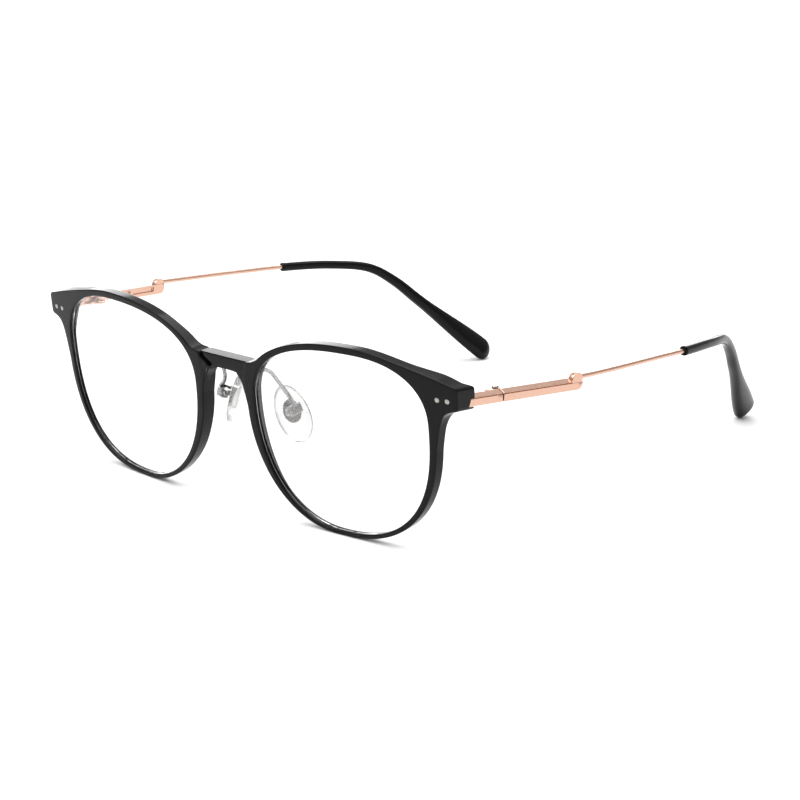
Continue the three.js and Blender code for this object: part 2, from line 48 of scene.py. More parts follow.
# ------------------------------------------------------------ the design's dimensions, in mm
OPENING = {"nasal": 10.0, "temporal": 60.6, "top": 17.6, "bottom": -26.0}
PEAKS = {"nasal_z": 1.8, "temporal_z": 3.2, "top_x": 39.8, "bottom_x": 33.8}
SQUARENESS = {"top_temporal": 2.37, "top_nasal": 2.43, "bottom_nasal": 2.17, "bottom_temporal": 2.52}
RIM_WIDTH = {"nasal": 2.4, "temporal": 1.9, "top": 1.7, "bottom": 1.1, "between": 1.3}
FACE_CURVE = 0.00123
RIM_DEPTH = 2.8
NOSE_DEPTH = 3.6
BRIDGE_DEPTH = 4.3
BRIDGE_FRONT = 0.8
BRIDGE_TOP = 10.5
BRIDGE_ARCH = 7.35
END_X = 68.8
END_TOP = 13.8
END_LOW = 8.5
END_DEPTH = 6.0
END_SWELL = 1.8
RIVET_X = (63.5, 66.1)
RIVET_Z = 10.65
RIVET_RADIUS = 0.65
LENS_THICKNESS = 1.4
LENS_EDGE = 1.1
LENS_DOME = 1.6
GROOVE_Y = 1.35
GROOVE_HALF_WIDTH = 0.7

HINGE = Vector((66.65, 20.55, 8.2))
SPLAY = math.radians(5.7)
SLOPE = math.radians(9.6)
BAR_OUTER = 2.9
BAR_INNER = 1.2
BAR_LOW = -1.5
BAR_EDGE = 0.35
BAR_TOP = 1.15
BAR_LENGTH = 25.2
BAR_CORNER = 1.6
EAR_FRONT = 21.7
LUG_LENGTH = 10.4
PLATE_CENTRE = (64.4, 9.35, 10.3)
PLATE_SIZE = (6.6, 1.0, 3.2)
PLATE_TURN = math.radians(11)
BARREL_RADIUS = 1.2
PIN_RADIUS = 0.42
BARREL_TOP = 1.2
KNUCKLE = 0.7
KNUCKLE_GAP = 0.3
BUTT_GAP = 0.15  # from the pin's axis to the lug's rear end, and to the bar's front end
SHOWN_GAP = 0.12  # room drawn round the barrels and the pad's insert
WEB_REACH = 3.2
HEAD_RADIUS = 0.85
HEAD_RISE = 0.45
WIRE_RADIUS = 0.58
TEMPLE_LINE = (
    (2.1, 23.3, 1.4), (2, 27, 1.4), (0.3, 40, 1.5), (-2, 54, 1.6), (-4.5, 68, 1.6), (-9.1, 83, 1.2),
    (-14.5, 94.3, -0.3), (-18.1, 101.2, -4.3), (-22, 108.2, -10.3), (-31.5, 124.9, -24.4),
    (-33.3, 128.4, -27.3),
)
PADDLE_TWIST = math.radians(32)
SLEEVE_FROM = 44.5
CORE_TO = 72
TIP_ROUNDING = 3.2

PAD_PIVOT = Vector((12.1, 11.4, -3.6))
PAD_SPLAY = math.radians(27)
PAD_LEAN = math.radians(20)
PAD_RAKE = math.radians(14)
PAD_HALF = (4.0, 7.2)
PAD_BACK = -2.1
PAD_MIDDLE = -0.95
INSERT_MIDDLE = -0.25
PAD_SCREW_RADIUS = 0.35
LUG_HALF = 0.5
CHEEK = 0.7
GAP = 0.3
INSERT_HALF = (2.05, 2.9)
INSERT_THICKNESS = 0.45
ARM_RADIUS = 0.5
ARM_ROOT = (10.2, 2.0, 8.0)


# ------------------------------------------------------------ frames
def joint(name):
    return next(j for j in frame["joints"] if j["name"] == name)


# F is the upright frame of the front, T the temple's frame on its pin, P the pad's on its pivot.
TURN_T = Matrix.Rotation(-SPLAY, 4, "Z") @ Matrix.Rotation(-SLOPE, 4, "X")
PLACE_T = Matrix.Translation(HINGE) @ TURN_T
TURN_P = (
    Matrix.Rotation(-PAD_SPLAY, 4, "Z")
    @ Matrix.Rotation(-PAD_LEAN, 4, "Y")
    @ Matrix.Rotation(PAD_RAKE, 4, "X")
)
PLACE_P = Matrix.Translation(PAD_PIVOT) @ TURN_P
PLACE_F = Matrix.Identity(4)


def row_frame():
    """The matrix from F in millimetres to the row frame in metres."""
    pin = joint("temple_left_fold")
    axis = Vector(pin["axis"])
    upright = TURN_T @ Vector((0, 0, 1))
    tilt = math.atan2(upright.y, upright.z) - math.atan2(axis.y, axis.z)
    turn = Matrix.Rotation(tilt, 4, "X")
    origin = Vector(pin["pos_m"]) - (turn @ HINGE) * MM
    return Matrix.Translation(origin) @ turn @ Matrix.Scale(MM, 4)


ROW = row_frame()
MIRROR = Matrix.Scale(-1, 4, (1, 0, 0))


# ------------------------------------------------------------ curves
def smooth(value, low, high):
    share = np.clip((value - low) / (high - low), 0, 1)
    return share * share * (3 - 2 * share)


def spline(points, count):
    """An even-parameter spline through flat points, with count steps in all."""
    points = np.array(points, float)
    last = len(points) - 1
    out = []
    for step in range(count + 1):
        where = step / count * last
        i = min(int(where), last - 1)
        t = where - i
        p0, p1, p2, p3 = (points[min(max(k, 0), last)] for k in (i - 1, i, i + 1, i + 2))
        out.append(0.5 * (2 * p1 + (p2 - p0) * t + (2 * p0 - 5 * p1 + 4 * p2 - p3) * t ** 2
                          + (3 * p1 - p0 - 3 * p2 + p3) * t ** 3))
    return np.array(out)


def flowing(points):
    """A dense line through points in space that bends evenly whatever their spacing."""
    p = [np.array(q, float) for q in points]
    p = [2 * p[0] - p[1], *p, 2 * p[-1] - p[-2]]
    steps, out = 24, []
    for i in range(1, len(p) - 2):
        a, b, c, d = p[i - 1: i + 3]
        ka, kb, kc = (np.linalg.norm(v) ** 0.5 for v in (b - a, c - b, d - c))
        start = ((b - a) / ka - (c - a) / (ka + kb) + (c - b) / kb) * kb
        end = ((c - b) / kb - (d - b) / (kb + kc) + (d - c) / kc) * kb
        for step in range(steps):
            t = step / steps
            out.append((2 * t ** 3 - 3 * t ** 2 + 1) * b + (t ** 3 - 2 * t ** 2 + t) * start
                       + (3 * t ** 2 - 2 * t ** 3) * c + (t ** 3 - t ** 2) * end)
    out.append(p[-2])
    return np.array(out)


def lengths_along(line):
    return np.concatenate([[0], np.cumsum(np.linalg.norm(np.diff(line, axis=0), axis=1))])


def along(line, places):
    """Points and directions of a dense line at distances along it."""
    far = lengths_along(line)
    points = np.stack([np.interp(places, far, line[:, k]) for k in range(3)], axis=1)
    ahead = np.stack([np.interp(np.array(places) + 0.2, far, line[:, k]) for k in range(3)], axis=1)
    back = np.stack([np.interp(np.array(places) - 0.2, far, line[:, k]) for k in range(3)], axis=1)
    way = ahead - back
    return points, way / np.linalg.norm(way, axis=1)[:, None]


# ------------------------------------------------------------ meshes
def stack(rings, cap=True):
    """A skin over rings with the same number of points, closed by a face at each end."""
    count = len(rings[0])
    verts = np.concatenate(rings)
    faces = []
    for r in range(len(rings) - 1):
        a = r * count
        for i in range(count):
            j = (i + 1) % count
            faces.append((a + i, a + j, a + count + j, a + count + i))
    if cap:
        faces.append(tuple(range(count))[::-1])
        faces.append(tuple(range((len(rings) - 1) * count, len(rings) * count)))
    return verts.astype(float), faces


def merged(*solids):
    verts, faces, start = [], [], 0
    for v, f in solids:
        verts.append(v)
        faces += [tuple(i + start for i in face) for face in f]
        start += len(v)
    return np.concatenate(verts), faces


def moved(part, matrix):
    verts, faces = part
    turned = np.array([matrix @ Vector(v) for v in verts])
    return turned, (faces if matrix.determinant() > 0 else [f[::-1] for f in faces])


def mesh_of(name, part):
    mesh = bpy.data.meshes.new(name)
    mesh.from_pydata([tuple(v) for v in part[0]], [], part[1])
    mesh.validate()
    edit = bmesh.new()
    edit.from_mesh(mesh)
    bmesh.ops.remove_doubles(edit, verts=edit.verts, dist=1e-5)
    bmesh.ops.recalc_face_normals(edit, faces=edit.faces)
    edit.to_mesh(mesh)
    edit.free()
    thing = bpy.data.objects.new(name, mesh)
    bpy.context.scene.collection.objects.link(thing)
    return thing


def applied(thing):
    """The object with its modifiers made part of its mesh."""
    graph = bpy.context.evaluated_depsgraph_get()
    mesh = bpy.data.meshes.new_from_object(thing.evaluated_get(graph))
    thing.modifiers.clear()
    thing.data = mesh
    return thing


def rounded(part, width, segments=3, angle=30):
    """A solid, in millimetres, with its sharp edges rounded."""
    thing = mesh_of("rounding", part)
    bevel = thing.modifiers.new("edges", "BEVEL")
    bevel.width = width
    bevel.segments = segments
    bevel.limit_method = "ANGLE"
    bevel.angle_limit = math.radians(angle)
    applied(thing)
    return taken(thing)


def taken(thing):
    verts = np.array([v.co for v in thing.data.vertices]).reshape(-1, 3)
    faces = [tuple(f.vertices) for f in thing.data.polygons]
    bpy.data.objects.remove(thing)
    return verts, faces


def combined(first, second, operation):
    """The two solids joined or one cut from the other."""
    base, tool = mesh_of("base", first), mesh_of("tool", second)
    change = base.modifiers.new("cut", "BOOLEAN")
    change.operation = operation
    change.solver = "EXACT"
    change.object = tool
    applied(base)
    bpy.data.objects.remove(tool)
    return taken(base)


def union(*parts):
    whole = parts[0]
    for part in parts[1:]:
        whole = combined(whole, part, "UNION")
    return whole


def prism(outline, plane, start, end):
    """A flat outline made solid along x, y or z."""
    def ring(depth):
        points = []
        for a, b in outline:
            points.append({"x": (depth, a, b), "y": (a, depth, b), "z": (a, b, depth)}[plane])
        return np.array(points, float)
    return stack([ring(start), ring(end)])


def block(xs, ys, zs):
    return prism([(xs[0], ys[0]), (xs[1], ys[0]), (xs[1], ys[1]), (xs[0], ys[1])], "z", *zs)


def turned(profile, axis="z", sides=32):
    """A profile of (radius, place along the axis) turned round y or z."""
    rings = []
    for radius, place in profile:
        angles = 2 * np.pi * np.arange(sides) / sides
        a, b = radius * np.cos(angles), radius * np.sin(angles)
        c = np.full(sides, place)
        rings.append(np.stack({"z": (a, b, c), "y": (b, c, a)}[axis], axis=1))
    return stack(rings)


def tube(line, places, radius):
    """A round bar along a line, its two ends slightly rounded."""
    sides, ends = 20, 0.12
    first, last = places[0], places[-1]
    places = np.concatenate([[first, first + ends], places[1:-1], [last - ends, last]])
    points, ways = along(line, places)
    side = np.cross(ways[0], (0.1, 0.2, 1))
    rings = []
    for k, (point, way) in enumerate(zip(points, ways)):
        side = side - way * side.dot(way)
        side /= np.linalg.norm(side)
        other = np.cross(way, side)
        size = radius - (ends if k in (0, len(points) - 1) else 0)
        angles = 2 * np.pi * np.arange(sides) / sides
        rings.append(point + size * (np.outer(np.cos(angles), side) + np.outer(np.sin(angles), other)))
    return stack(rings)


# ------------------------------------------------------------ outlines of the front
def opening_point(angle):
    c, s = math.cos(angle), math.sin(angle)
    centre = (PEAKS["top_x"] if s >= 0 else PEAKS["bottom_x"],
              PEAKS["temporal_z"] if c >= 0 else PEAKS["nasal_z"])
    across = OPENING["temporal"] - centre[0] if c >= 0 else centre[0] - OPENING["nasal"]
    height = OPENING["top"] - centre[1] if s >= 0 else centre[1] - OPENING["bottom"]
    corner = ("top" if s >= 0 else "bottom") + ("_temporal" if c >= 0 else "_nasal")
    power = 2 / SQUARENESS[corner]
    return np.array((centre[0] + math.copysign(across * abs(c) ** power, c),
                     centre[1] + math.copysign(height * abs(s) ** power, s)))


def rim_width(angle):
    across, upright = math.cos(angle) ** 2, math.sin(angle) ** 2
    side = RIM_WIDTH["temporal" if math.cos(angle) > 0 else "nasal"]
    level = RIM_WIDTH["top" if math.sin(angle) > 0 else "bottom"]
    return side * across ** 2 + level * upright ** 2 + RIM_WIDTH["between"] * 2 * across * upright


def rim_loop(distance, count=720):
    loop = []
    for i in range(count):
        angle = 2 * math.pi * (i + 0.5) / count
        way = opening_point(angle + 0.004) - opening_point(angle - 0.004)
        way /= np.linalg.norm(way)
        offset = distance(angle)
        loop.append(opening_point(angle) + offset * np.array((way[1], -way[0])))
    return np.array(loop)


def end_piece_outline():
    top = spline([(40, 19.3), (46.5, 18.85), (53, 17.65), (60.5, 15.95), (END_X, END_TOP)], 40)
    under = spline([(END_X - 0.2, END_LOW), (67, 8.2), (65.3, 7.45), (64.1, 5.7), (63.2, 2.4), (62.5, -1.2),
                    (62.0, -4)], 48)
    return np.concatenate([top, under, [(58, -4), (58, 4), (48, 13.5), (40, 17.5)]])


def bridge_outline():
    arch = spline([(7.6, 2.8), (6.8, 4.2), (6, 5.7), (4.8, 6.8), (3, 7.25), (0, BRIDGE_ARCH)], 30)
    half = np.concatenate([[(0, BRIDGE_TOP), (9, BRIDGE_TOP), (9.8, 9), (9.2, 6), (8.6, 3)], arch])
    other = half[::-1][1:-1] * (-1, 1)
    return np.concatenate([half, other])


def root_outline():
    """Where the rim's side wall flares toward the nose and up to the bridge's top."""
    wall = spline([(7.9, 10.7), (7.3, 9), (6.7, 7.2), (6.6, 5.6), (6.8, 3.9),
                   (7.4, 0.9), (8.3, -3), (9.4, -7.2), (10.6, -11)], 60)
    inner = [(11.4, -10.5), (10.4, -3), (10.3, 3), (11, 8), (13, 11.5), (12.6, 12.2), (9.9, 10.95)]
    return np.concatenate([wall, inner])


def lip_outline():
    """The lip on the front of the root, running out along the lower edge of the bridge."""
    upper = spline([(7.4, 9.2), (6.7, 8.75), (5.7, 8.2), (4.9, 7.7)], 16)
    lower = spline([(4.85, 7.25), (5.4, 6.8), (6.1, 5.9), (6.6, 4.6), (7, 2.8)], 24)
    return np.concatenate([upper, lower, [(8.2, 3), (8.2, 9)]])


def even(loop, spacing):
    """A closed loop with its points moved to even spacing."""
    closed = np.concatenate([loop, loop[:1]])
    far = lengths_along(closed)
    count = int(round(far[-1] / spacing))
    places = np.arange(count) * far[-1] / count
    return np.stack([np.interp(places, far, closed[:, k]) for k in range(2)], axis=1)


def softened(loop, passes):
    for _ in range(passes):
        loop = 0.5 * loop + 0.25 * (np.roll(loop, 1, axis=0) + np.roll(loop, -1, axis=0))
    return loop


def offset(loop, distance):
    """A loop, anticlockwise, moved outward by a distance."""
    way = np.roll(loop, -1, axis=0) - np.roll(loop, 1, axis=0)
    way /= np.linalg.norm(way, axis=1)[:, None]
    return loop + distance * np.stack([way[:, 1], -way[:, 0]], axis=1)


def anticlockwise(loop):
    x, y = loop[:, 0], loop[:, 1]
    area = np.sum(x * np.roll(y, -1) - y * np.roll(x, -1))
    return loop if area > 0 else loop[::-1]


def outer_loop(*loops):
    """The outline round several overlapping flat outlines."""
    verts = [Vector(p) for loop in loops for p in loop]
    faces, start = [], 0
    for loop in loops:
        faces.append(list(range(start, start + len(loop))))
        start += len(loop)
    points, _, triangles, *_ = delaunay_2d_cdt(verts, [], faces, 1, 1e-6)
    ways = dict.fromkeys((a, face[(i + 1) % len(face)]) for face in triangles for i, a in enumerate(face))
    following = {a: b for a, b in ways if (b, a) not in ways}
    here = max(following, key=lambda i: points[i].x)
    loop = [here]
    while following[loop[-1]] != here:
        loop.append(following[loop[-1]])
    return np.array([points[i] for i in loop])


def inside(point, loop):
    x, z = point
    a, b = loop, np.roll(loop, -1, axis=0)
    crossing = (a[:, 1] > z) != (b[:, 1] > z)
    with np.errstate(divide="ignore", invalid="ignore"):
        where = a[:, 0] + (z - a[:, 1]) * (b[:, 0] - a[:, 0]) / (b[:, 1] - a[:, 1])
    return bool(np.sum(crossing & (x < where)) % 2)


# ------------------------------------------------------------ the front
def depth_at(x, z):
    reach = np.abs(x)
    nose = (NOSE_DEPTH - RIM_DEPTH) * (1 - smooth(reach, 9, 18))
    bridge = (BRIDGE_DEPTH - NOSE_DEPTH) * (1 - smooth(reach, 6, 10))
    swell = END_SWELL * smooth(reach, 54, 67) * smooth(z, 3, 10)
    wing = (END_DEPTH - RIM_DEPTH - END_SWELL) * smooth(reach, 66.4, END_X)
    return RIM_DEPTH + nose + bridge + swell + wing


def face_y(x):
    return FACE_CURVE * x * x


def bent(flat, ahead, behind):
    """Flat points set at a depth: ahead of the back where behind is given, or behind the face."""
    x, z = flat[:, 0], flat[:, 1]
    depth = ahead if behind is None else depth_at(x, z) - behind
    drop = depth * math.tan(SLOPE) * smooth(np.abs(x), 62, END_X)
    return np.stack([x, face_y(x) + depth, z - drop], axis=1)


def quarter(radius):
    """From a flat face to the side wall: pairs of (how far in from the wall, how far below the face)."""
    steps = 4
    angles = [math.pi / 2 * k / steps for k in range(steps + 1)]
    return [(radius * (1 - math.sin(a)), radius * (1 - math.cos(a))) for a in angles]


def plate(outer, hole=None, radius=0.32, depths=(0, None), shy=0.0, inner_points=()):
    """A moulded plate with rounded edges and a lens groove round its hole.

    depths is its face and its back, where None is the rim's own depth less shy.
    """
    low, high = depths
    def level(loop, h):
        return bent(loop, low + h, None)
    def rear(loop, h):
        return bent(loop, None, h + shy) if high is None else bent(loop, high - h, None)
    sides = quarter(radius)
    rings = [level(offset(outer, -d), h) for d, h in sides]
    rings += [rear(offset(outer, -d), h) for d, h in reversed(sides)]
    verts, faces = stack(rings, cap=False)
    first = np.arange(len(outer))
    last = first + (len(rings) - 1) * len(outer)
    if hole is not None:
        rings = [level(offset(hole, d), h) for d, h in sides]
        groove = ((0, -GROOVE_HALF_WIDTH), (0.5, -0.1), (0.5, 0.1), (0, GROOVE_HALF_WIDTH))
        rings += [level(offset(hole, out), GROOVE_Y + aside) for out, aside in groove]
        rings += [rear(offset(hole, d), h) for d, h in reversed(sides)]
        start = len(verts)
        hole_part = stack(rings, cap=False)
        verts, faces = merged((verts, faces), hole_part)
        first = np.concatenate([first, start + np.arange(len(hole))])
        last = np.concatenate([last, start + (len(rings) - 1) * len(hole) + np.arange(len(hole))])
    flat = [offset(outer, -sides[0][0])] + ([offset(hole, sides[0][0])] if hole is not None else [])
    inner = np.array(inner_points, float).reshape(-1, 2)
    border = np.concatenate(flat)
    every = np.concatenate([border, inner])
    loops, start = [], 0
    for loop in flat:
        loops.append([(start + i, start + (i + 1) % len(loop)) for i in range(len(loop))])
        start += len(loop)
    edges = [edge for loop in loops for edge in loop]
    points, _, triangles, *_ = delaunay_2d_cdt([Vector(p) for p in every], edges, [], 0, 1e-7)
    assert len(points) == len(every), "a plate outline is too tight for its rounded edge"
    kept = []
    for face in triangles:
        middle = np.mean([points[i] for i in face], axis=0)
        if inside(middle, flat[0]) and not (hole is not None and inside(middle, flat[1])):
            kept.append(face)
    start = len(verts)
    extra_front, extra_back = level(inner, 0), rear(inner, 0)
    if len(inner):
        verts = np.concatenate([verts, extra_front, extra_back])
    first = list(first) + list(range(start, start + len(inner)))
    last = list(last) + list(range(start + len(inner), start + 2 * len(inner)))
    faces += [tuple(first[i] for i in face) for face in kept]
    faces += [tuple(last[i] for i in face[::-1]) for face in kept]
    return verts, faces


def lug_room(grow):
    """The room that the front leaves for the lug, with soft corners."""
    shape = [
        (BAR_INNER - grow, BAR_LOW - grow),
        (BAR_OUTER + grow, BAR_LOW - grow),
        (BAR_OUTER + grow, BAR_EDGE + grow),
        (BAR_INNER - grow, BAR_TOP + grow),
    ]
    return rounded(prism(shape, "y", -LUG_LENGTH - 1.2, 2), 0.25)


def make_front_half():
    outlines = (rim_loop(rim_width), end_piece_outline(), root_outline())
    outer = outer_loop(*(anticlockwise(loop) for loop in outlines))
    outer = softened(even(anticlockwise(outer), 0.4), 3)
    hole = even(anticlockwise(rim_loop(lambda angle: 0)), 0.4)
    shrunk, grown = offset(outer, -0.9), offset(hole, 0.9)
    places = [(x, z) for x in np.arange(57, END_X, 0.7) for z in np.arange(-3, 18, 0.7)]
    places += [(x, z) for x in np.arange(6.8, 13, 0.6) for z in np.arange(-3, 12, 0.6)]
    grid = [place for place in places if inside(place, shrunk) and not inside(place, grown)]
    half = plate(outer, hole, inner_points=grid)
    lip = softened(even(anticlockwise(lip_outline()), 0.16), 2)
    lip = plate(lip, radius=0.2, depths=(0.012, 2.1))
    room = moved(lug_room(0.14), PLACE_T)
    return union(combined(half, room, "DIFFERENCE"), lip)


def make_front():
    half = make_front_half()
    outline = softened(even(anticlockwise(bridge_outline()), 0.3), 4)
    shrunk = offset(outline, -0.8)
    places = [(x, z) for x in np.arange(-9.3, 9.4, 0.6) for z in np.arange(3.1, 10.4, 0.6)]
    grid = [place for place in places if inside(place, shrunk)]
    bridge = plate(outline, None, 0.3, (BRIDGE_FRONT, None), shy=0.04, inner_points=grid)
    return union(half, moved(half, MIRROR), bridge)


def rim_ring(distance, y, scale=1.0, count=200):
    middle = np.array((35.3, -4.2))
    flat = (rim_loop(lambda angle: distance, count) - middle) * scale + middle
    return np.stack([flat[:, 0], face_y(flat[:, 0]) + y, flat[:, 1]], axis=1)


def make_lens():
    edge = -0.02
    scales = (0.05, 0.2, 0.35, 0.5, 0.62, 0.74, 0.84, 0.92, 0.97, 1.0)
    def face(side, scale):
        inner = 1 - scale * scale
        half = LENS_EDGE / 2 + (LENS_THICKNESS - LENS_EDGE) / 2 * inner
        return rim_ring(edge, GROOVE_Y + side * half - LENS_DOME * inner, scale)
    rings = [face(-1, s) for s in scales]
    bevel = ((edge, -0.4), (0.4, -0.05), (0.4, 0.05))
    rings += [rim_ring(distance, GROOVE_Y + aside) for distance, aside in bevel]
    rings += [face(1, s) for s in reversed(scales)]
    return stack(rings)


def make_rivet(x):
    """A rivet with a low domed head at the face."""
    r = RIVET_RADIUS
    profile = [(0.02, -0.07), (r * 0.5, -0.06), (r * 0.85, -0.02), (r, 0.05), (r, 4.3), (r + 0.15, 4.35),
               (r + 0.15, 4.6), (r * 0.7, 4.8), (0.02, 4.85)]
    turn = Matrix.Rotation(math.atan(2 * FACE_CURVE * x), 4, "Z")
    place = Matrix.Translation((x, float(face_y(x)), RIVET_Z)) @ turn
    return moved(turned(profile, "y"), place)


# ------------------------------------------------------------ hinge, temple and tip
def barrel(low, high):
    r, edge = BARREL_RADIUS, 0.1
    return turned([(r - edge, low), (r, low + edge), (r, high - edge), (r - edge, high)], "z", 40)


def knuckle(low, high, side):
    ends = (BUTT_GAP, WEB_REACH) if side > 0 else (-WEB_REACH, -BUTT_GAP)
    web = rounded(block((0.1, BAR_INNER + 0.2), ends, (low, high)), 0.06, 2)
    return union(barrel(low, high), web)


def pin_room():
    """Room for the other half's barrel to turn in."""
    radius = BARREL_RADIUS + SHOWN_GAP
    return turned([(radius, BAR_LOW - 1), (radius, BAR_TOP + 1)], "z", 40)


def bar(start, end, corner=0.0):
    """The bevelled bar, its corners eased and its lower rear corner swept up."""
    ease = 0.14
    def ring(y, shrink=0.0):
        low = BAR_LOW
        if corner and y > end - corner:
            low = BAR_LOW + corner - math.sqrt(max(0.0, corner ** 2 - (y - end + corner) ** 2))
        low = min(low + shrink, BAR_EDGE - 0.3)
        o, i = BAR_OUTER - shrink, BAR_INNER + shrink
        slope = (BAR_TOP - BAR_EDGE) / (BAR_OUTER - BAR_INNER)
        flat = [
            (i + ease, low), (o - ease, low), (o - ease * 0.3, low + ease * 0.3), (o, low + ease),
            (o, BAR_EDGE - 0.19), (o - 0.03, BAR_EDGE - 0.15), (o - 0.45, BAR_EDGE - 0.1),
            (o - 0.45, BAR_EDGE + 0.09), (o - 0.15, BAR_EDGE + 0.13),
            (o - 0.22, BAR_EDGE + slope * 0.22 + 0.06),
            (i + ease, BAR_TOP - ease * 0.3 - shrink), (i + ease * 0.3, BAR_TOP - ease * 0.3 - shrink),
            (i, BAR_TOP - ease - shrink), (i, low + ease), (i + ease * 0.3, low + ease * 0.3),
        ]
        return np.array([(x, y, z) for x, z in flat])
    stations = [start + 0.1, start + 0.3, *np.linspace(start + 1.5, end - 2, 14)]
    stations += [end - 1.6, end - 1.35, end - 1.1, end - 0.85, end - 0.6, end - 0.4, end - 0.22, end - 0.1]
    rings = [ring(start, 0.1)] + [ring(y) for y in stations] + [ring(end, 0.1)]
    return stack(rings)


def make_lug():
    lower = knuckle(BAR_LOW, BAR_LOW + KNUCKLE, -1)
    upper = knuckle(BARREL_TOP - KNUCKLE, BARREL_TOP, -1)
    shank = combined(bar(-LUG_LENGTH - 0.8, -BUTT_GAP), pin_room(), "DIFFERENCE")
    foot = rounded(block((0.3, 1.8), (-11.3, -8.9), (BAR_LOW, BAR_TOP)), 0.15)
    w, d, h = (s / 2 for s in PLATE_SIZE)
    back = rounded(block((-w, w), (-d, d), (-h, h)), 0.25)
    back = moved(back, Matrix.Translation(PLATE_CENTRE) @ Matrix.Rotation(PLATE_TURN, 4, "Z"))
    in_t = union(shank, foot, lower, upper)
    return union(moved(in_t, PLACE_T), back)


def make_pin():
    top = BARREL_TOP + HEAD_RISE
    r, base = HEAD_RADIUS, BARREL_TOP + 0.02
    profile = [(PIN_RADIUS - 0.1, BAR_LOW - 0.12), (PIN_RADIUS, BAR_LOW - 0.05), (PIN_RADIUS, base),
               (r - 0.05, base), (r, base + 0.08), (r, top - 0.16), (r - 0.1, top - 0.05), (0.03, top)]
    slot = block((-r, r), (-0.11, 0.11), (top - 0.17, top + 1))
    return combined(turned(profile, "z", 36), slot, "DIFFERENCE")


def make_ear():
    front, rear = EAR_FRONT, BAR_LENGTH
    outline = spline([(front, 0.1), (front + 0.15, 1.2), (front + 0.75, 2.05), (front + 1.6, 2.45),
                      (front + 2.5, 2.4), (rear - 0.4, 2.0), (rear - 0.06, 1.3), (rear - 0.02, 0.1)], 36)
    return rounded(prism(outline, "x", BAR_INNER + 0.1, BAR_OUTER - 0.12), 0.18, 3, 50)


LINE = flowing(TEMPLE_LINE)
LINE_LENGTH = float(lengths_along(LINE)[-1])


def make_temple():
    middle = BARREL_TOP - 2 * KNUCKLE - KNUCKLE_GAP
    hinge = knuckle(middle, middle + KNUCKLE, 1)
    shaft = combined(bar(BUTT_GAP, BAR_LENGTH, BAR_CORNER), pin_room(), "DIFFERENCE")
    for run in ((4.5, 12), (13, 21)):
        channel = rounded(block((0, BAR_INNER + 0.45), run, (-0.6, 0.6)), 0.22)
        shaft = combined(shaft, channel, "DIFFERENCE")
    wire = tube(LINE, np.linspace(0, CORE_TO, 90), WIRE_RADIUS)
    return union(shaft, hinge, make_ear(), wire)


def tip_size(distance, length):
    share = distance / length
    closing = math.sqrt(max(0.0, 1 - max(0.0, (distance - length) / TIP_ROUNDING + 1) ** 2))
    opening = 1 if distance > 0.3 else 0.86 + 0.14 * math.sqrt(max(0.0, 1 - (1 - distance / 0.3) ** 2))
    thickness = 1.2 + 0.6 * float(smooth(share, 0.25, 0.9))
    height = 1.2 + 0.35 * float(smooth(share, 0.25, 0.65)) + 1.8 * float(smooth(share, 0.62, 0.96))
    return thickness * closing * opening, height * closing * opening


def make_tip():
    length = LINE_LENGTH - SLEEVE_FROM
    end = length - TIP_ROUNDING
    steps = np.concatenate([[0, 0.08, 0.2, 0.35], np.linspace(1, end - 0.6, 70),
                            end + TIP_ROUNDING * np.sin(np.linspace(0.05, np.pi / 2 - 0.06, 16))])
    points, ways = along(LINE, SLEEVE_FROM + steps)
    sides = 32
    angles = 2 * np.pi * np.arange(sides) / sides
    c, s = np.cos(angles), np.sin(angles)
    rings = []
    for distance, point, way in zip(steps, points, ways):
        level = np.cross(way, (0, 0, 1))
        level /= np.linalg.norm(level)
        twist = PADDLE_TWIST * float(smooth(distance / length, 0.35, 0.9))
        across = level * math.cos(twist) + np.cross(way, level) * math.sin(twist)
        over = np.cross(across, way)
        thickness, height = tip_size(distance, length)
        wide = thickness * np.sign(c) * np.abs(c) ** 0.85
        high = height * np.sign(s) * np.abs(s) ** 0.85
        rings.append(point + np.outer(wide, across) + np.outer(high, over))
    return stack(rings)


# ------------------------------------------------------------ nose pads
def make_pad_arm():
    x, y, z = ARM_ROOT
    end = PLACE_P @ Vector((1.6, 0, 0.5))
    route = [(x, y, z), (x, y + 2.6, z), (9.5, 7.4, 6.3), (9.9, 9.5, 3), (11.4, 10.8, -0.4), tuple(end)]
    line = flowing(route)
    wire = tube(line, np.linspace(0, lengths_along(line)[-1], 70), ARM_RADIUS)
    outside = LUG_HALF + GAP + CHEEK
    case = rounded(block((-1.1, 1.8), (-outside, outside), (-1.2, 1.2)), 0.28, 4)
    slot = block((-3, 1.25), (-LUG_HALF - SHOWN_GAP, LUG_HALF + SHOWN_GAP), (-3, 3))
    case = combined(case, slot, "DIFFERENCE")
    return union(wire, moved(case, PLACE_P))


def make_pad_screw():
    outside = LUG_HALF + GAP + CHEEK
    r, face = 0.9, -outside - 0.7
    profile = [(0.03, face), (r - 0.2, face + 0.05), (r, face + 0.22), (r, -outside - 0.02),
               (PAD_SCREW_RADIUS, -outside - 0.02), (PAD_SCREW_RADIUS, outside + 0.1),
               (0.03, outside + 0.14)]
    slot = block((-2, 2), (face - 1, face + 0.2), (-0.13, 0.13))
    return combined(turned(profile, "y"), slot, "DIFFERENCE")


def pad_ring(x, middle, half_width, half_height):
    """An egg-shaped ring, a little narrower towards the top."""
    count = 64
    angles = 2 * np.pi * np.arange(count) / count
    c, s = np.cos(angles), np.sin(angles)
    narrow = 1 - 0.08 * s
    return np.stack([np.full(count, x), half_width * c * narrow, middle + half_height * s], axis=1)


